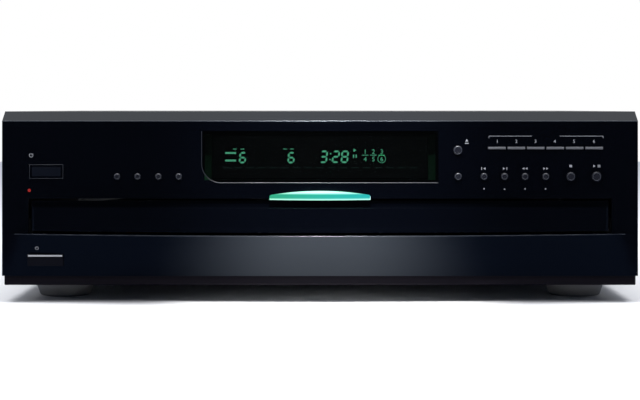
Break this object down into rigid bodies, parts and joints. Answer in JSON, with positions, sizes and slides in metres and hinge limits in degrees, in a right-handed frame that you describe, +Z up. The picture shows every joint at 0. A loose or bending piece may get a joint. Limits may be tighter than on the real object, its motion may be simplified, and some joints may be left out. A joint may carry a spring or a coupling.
{
  "type": "multi disc cd changer",
  "caption": "Black full-width disc changer with a bowed front, a wide sliding tray carrying a turning carousel, a lifting player and spring-back buttons.",
  "frame": {"origin": "centre of the footprint at the plane the feet stand on", "axes": "-Y out of the front, +X to the right seen from the front, +Z up"},
  "size_m": [0.4394, 0.433, 0.131],
  "materials": {
    "panel_black": "satin black moulding",
    "cover_black": "fine textured black paint",
    "steel_plate": "zinc plated sheet",
    "foot_black": "matte",
    "screw_black": "black oxide",
    "window_smoke": "smoked, polished",
    "tube_glass": "clear",
    "board_green": "solder mask",
    "lamp_red": "clear red",
    "lens_green": "translucent green",
    "button_black": "satin",
    "button_silver": "satin grey",
    "tray_black": "fine matte",
    "gear_white": "natural acetal",
    "rail_grey": "matte",
    "motor_steel": "plain",
    "rod_steel": "ground",
    "sled_black": "matte",
    "lens_clear": "polished",
    "hub_black": "matte",
    "core_iron": "varnished laminations",
    "jack_plastic": "matte",
    "gland_rubber": "matte"
  },
  "bodies": {
    "chassis": {"bottom_chassis": "steel_plate", "lower_strip": "panel_black", "feet": "foot_black", "top_cover": "cover_black", "rear_panel": "cover_black", "case_screws": "screw_black", "front_panel": "panel_black", "display_window": "window_smoke", "display_tube": "tube_glass", "display_board": "board_green", "standby_lamp": "lamp_red", "light_lens": "lens_green", "tray_rail_left": "rail_grey", "tray_rail_right": "rail_grey", "loading_motor": "motor_steel", "lift_motor": "motor_steel", "clamp_bridge": "steel_plate", "main_board": "board_green", "power_transformer": "core_iron", "audio_jacks": "jack_plastic", "optical_output": "jack_plastic", "cord_gland": "gland_rubber"},
    "tray": {"tray": "tray_black", "tray_front": "panel_black", "roulette_motor": "motor_steel"},
    "carousel": {"carousel": "tray_black", "carousel_cap": "tray_black"},
    "roulette_gear": {"roulette_gear": "gear_white"},
    "loading_pinion": {"loading_pinion": "gear_white"},
    "mechanism": {"mech_frame": "rail_grey", "guide_rods": "rod_steel", "spindle_motor": "motor_steel", "feed_motor": "motor_steel"},
    "spindle": {"spindle_hub": "hub_black"},
    "pickup": {"pickup_sled": "sled_black", "pickup_lens": "lens_clear"},
    "feed_gear": {"feed_gear": "gear_white"},
    "lift_slider": {"lift_slider": "gear_white"},
    "lift_gear": {"lift_gear": "gear_white"},
    "clamper": {"clamper": "gear_white"},
    "standby_button": {"standby_button": "button_black"},
    "power_button": {"power_button": "button_black"},
    "repeat_button": {"repeat_button": "button_black"},
    "random_button": {"random_button": "button_black"},
    "dimmer_button": {"dimmer_button": "button_black"},
    "display_button": {"display_button": "button_black"},
    "open_close_button": {"open_close_button": "button_black"},
    "disc_skip_button": {"disc_skip_button": "button_black"},
    "previous_button": {"previous_button": "button_black"},
    "next_button": {"next_button": "button_black"},
    "rewind_button": {"rewind_button": "button_black"},
    "forward_button": {"forward_button": "button_black"},
    "stop_button": {"stop_button": "button_black"},
    "play_button": {"play_button": "button_black"},
    "disc_1_button": {"disc_1_button": "button_silver"},
    "disc_2_button": {"disc_2_button": "button_silver"},
    "disc_3_button": {"disc_3_button": "button_silver"},
    "disc_4_button": {"disc_4_button": "button_silver"},
    "disc_5_button": {"disc_5_button": "button_silver"},
    "disc_6_button": {"disc_6_button": "button_silver"}
  },
  "joints": [
    {"name": "tray_slide", "type": "slide", "parent": "chassis", "child": "tray", "axis": [0, -1, 0], "range_m": [0, 0.258]},
    {"name": "carousel_spin", "type": "hinge", "parent": "tray", "child": "carousel", "pos_m": [0, 0.002, 0.053], "axis": [0, 0, 1], "continuous": true},
    {"name": "roulette_gear_spin", "type": "hinge", "parent": "tray", "child": "roulette_gear", "pos_m": [-0.04, 0.002, 0.0576], "axis": [0, 0, 1], "continuous": true},
    {"name": "loading_pinion_spin", "type": "hinge", "parent": "chassis", "child": "loading_pinion", "pos_m": [0.19555, -0.075, 0.0425], "axis": [1, 0, 0], "continuous": true},
    {"name": "mechanism_lift", "type": "hinge", "parent": "chassis", "child": "mechanism", "pos_m": [0, 0.016, 0.042], "axis": [1, 0, 0], "range_deg": [0, 10]},
    {"name": "lift_slider_shift", "type": "slide", "parent": "chassis", "child": "lift_slider", "axis": [-1, 0, 0], "range_m": [0, 0.0246]},
    {"name": "lift_gear_spin", "type": "hinge", "parent": "chassis", "child": "lift_gear", "pos_m": [0, 0.1673, 0.0155], "axis": [0, 0, 1], "continuous": true},
    {"name": "spindle_spin", "type": "hinge", "parent": "mechanism", "child": "spindle", "pos_m": [0, 0.12725, 0.0366], "axis": [0, 0.1736, 0.9848], "continuous": true},
    {"name": "clamper_spin", "type": "hinge", "parent": "chassis", "child": "clamper", "pos_m": [0, 0.1265, 0.07], "axis": [0, 0, 1], "continuous": true},
    {"name": "pickup_slide", "type": "slide", "parent": "mechanism", "child": "pickup", "axis": [0, -0.9848, 0.1736], "range_m": [0, 0.032]},
    {"name": "feed_gear_spin", "type": "hinge", "parent": "mechanism", "child": "feed_gear", "pos_m": [0.0278, 0.07772, 0.03213], "axis": [0, 0.1736, 0.9848], "continuous": true},
    {"name": "standby_press", "type": "slide", "parent": "chassis", "child": "standby_button", "axis": [0, 1, 0], "range_m": [0, 0.001], "stiffness_N_per_m": 300},
    {"name": "power_press", "type": "slide", "parent": "chassis", "child": "power_button", "axis": [0, 1, 0], "range_m": [0, 0.002], "stiffness_N_per_m": 300},
    {"name": "repeat_press", "type": "slide", "parent": "chassis", "child": "repeat_button", "axis": [0, 1, 0], "range_m": [0, 0.001], "stiffness_N_per_m": 300},
    {"name": "random_press", "type": "slide", "parent": "chassis", "child": "random_button", "axis": [0, 1, 0], "range_m": [0, 0.001], "stiffness_N_per_m": 300},
    {"name": "dimmer_press", "type": "slide", "parent": "chassis", "child": "dimmer_button", "axis": [0, 1, 0], "range_m": [0, 0.001], "stiffness_N_per_m": 300},
    {"name": "display_press", "type": "slide", "parent": "chassis", "child": "display_button", "axis": [0, 1, 0], "range_m": [0, 0.001], "stiffness_N_per_m": 300},
    {"name": "open_close_press", "type": "slide", "parent": "chassis", "child": "open_close_button", "axis": [0, 1, 0], "range_m": [0, 0.001], "stiffness_N_per_m": 300},
    {"name": "disc_skip_press", "type": "slide", "parent": "chassis", "child": "disc_skip_button", "axis": [0, 1, 0], "range_m": [0, 0.001], "stiffness_N_per_m": 300},
    {"name": "previous_press", "type": "slide", "parent": "chassis", "child": "previous_button", "axis": [0, 1, 0], "range_m": [0, 0.001], "stiffness_N_per_m": 300},
    {"name": "next_press", "type": "slide", "parent": "chassis", "child": "next_button", "axis": [0, 1, 0], "range_m": [0, 0.001], "stiffness_N_per_m": 300},
    {"name": "rewind_press", "type": "slide", "parent": "chassis", "child": "rewind_button", "axis": [0, 1, 0], "range_m": [0, 0.001], "stiffness_N_per_m": 300},
    {"name": "forward_press", "type": "slide", "parent": "chassis", "child": "forward_button", "axis": [0, 1, 0], "range_m": [0, 0.001], "stiffness_N_per_m": 300},
    {"name": "stop_press", "type": "slide", "parent": "chassis", "child": "stop_button", "axis": [0, 1, 0], "range_m": [0, 0.001], "stiffness_N_per_m": 300},
    {"name": "play_press", "type": "slide", "parent": "chassis", "child": "play_button", "axis": [0, 1, 0], "range_m": [0, 0.001], "stiffness_N_per_m": 300},
    {"name": "disc_1_press", "type": "slide", "parent": "chassis", "child": "disc_1_button", "axis": [0, 1, 0], "range_m": [0, 0.001], "stiffness_N_per_m": 300},
    {"name": "disc_2_press", "type": "slide", "parent": "chassis", "child": "disc_2_button", "axis": [0, 1, 0], "range_m": [0, 0.001], "stiffness_N_per_m": 300},
    {"name": "disc_3_press", "type": "slide", "parent": "chassis", "child": "disc_3_button", "axis": [0, 1, 0], "range_m": [0, 0.001], "stiffness_N_per_m": 300},
    {"name": "disc_4_press", "type": "slide", "parent": "chassis", "child": "disc_4_button", "axis": [0, 1, 0], "range_m": [0, 0.001], "stiffness_N_per_m": 300},
    {"name": "disc_5_press", "type": "slide", "parent": "chassis", "child": "disc_5_button", "axis": [0, 1, 0], "range_m": [0, 0.001], "stiffness_N_per_m": 300},
    {"name": "disc_6_press", "type": "slide", "parent": "chassis", "child": "disc_6_button", "axis": [0, 1, 0], "range_m": [0, 0.001], "stiffness_N_per_m": 300}
  ],
  "couplings": [
    {"joint": "roulette_gear_spin", "follows": "carousel_spin", "ratio": -2.3333},
    {"joint": "loading_pinion_spin", "follows": "tray_slide", "rad_per_m": 125},
    {"joint": "lift_slider_shift", "follows": "mechanism_lift", "m_per_rad": 0.13946},
    {"joint": "lift_gear_spin", "follows": "mechanism_lift", "ratio": -17.433},
    {"joint": "clamper_spin", "follows": "spindle_spin", "ratio": 1},
    {"joint": "feed_gear_spin", "follows": "pickup_slide", "rad_per_m": 125}
  ]
}
